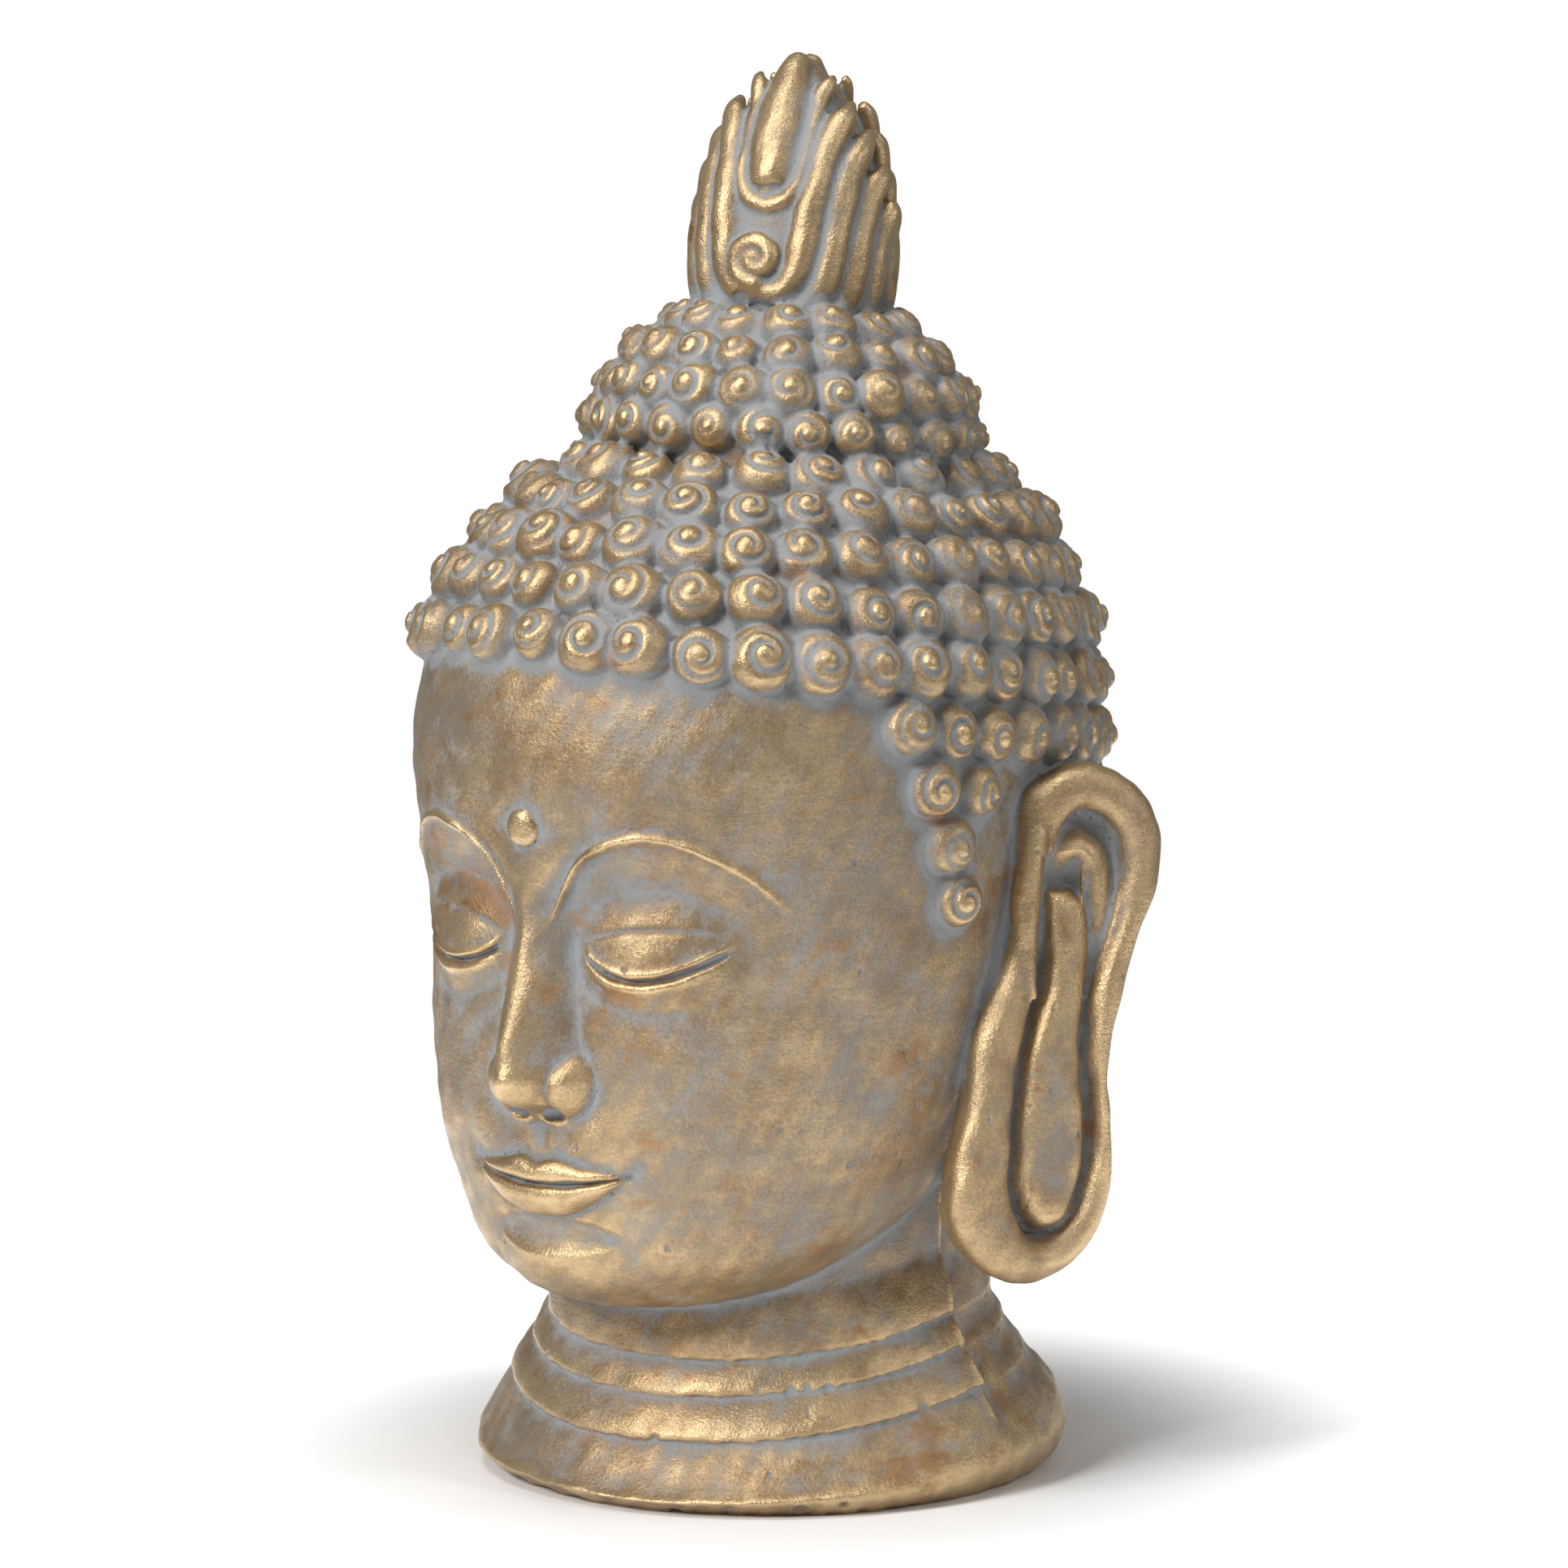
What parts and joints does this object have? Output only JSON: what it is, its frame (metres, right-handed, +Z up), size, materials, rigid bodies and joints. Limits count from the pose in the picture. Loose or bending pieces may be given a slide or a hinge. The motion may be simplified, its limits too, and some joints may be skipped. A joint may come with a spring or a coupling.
{
  "type": "decorative buddha head sculpture",
  "caption": "Garden head of a buddha in bronze-washed resin, with snail curls, a flame on the crown, long ears and a stepped neck to stand on.",
  "frame": {"origin": "middle of the flat underside of the neck's foot", "axes": "+Z up to the flame's tip; the face looks along -Y and its left ear is on +X"},
  "size_m": [0.4052, 0.4006, 0.7219],
  "materials": {
    "bronze_washed_resin": "grey resin with a worn bronze-gold wash"
  },
  "bodies": {
    "root": {"buddha_head": "bronze_washed_resin"}
  },
  "joints": []
}
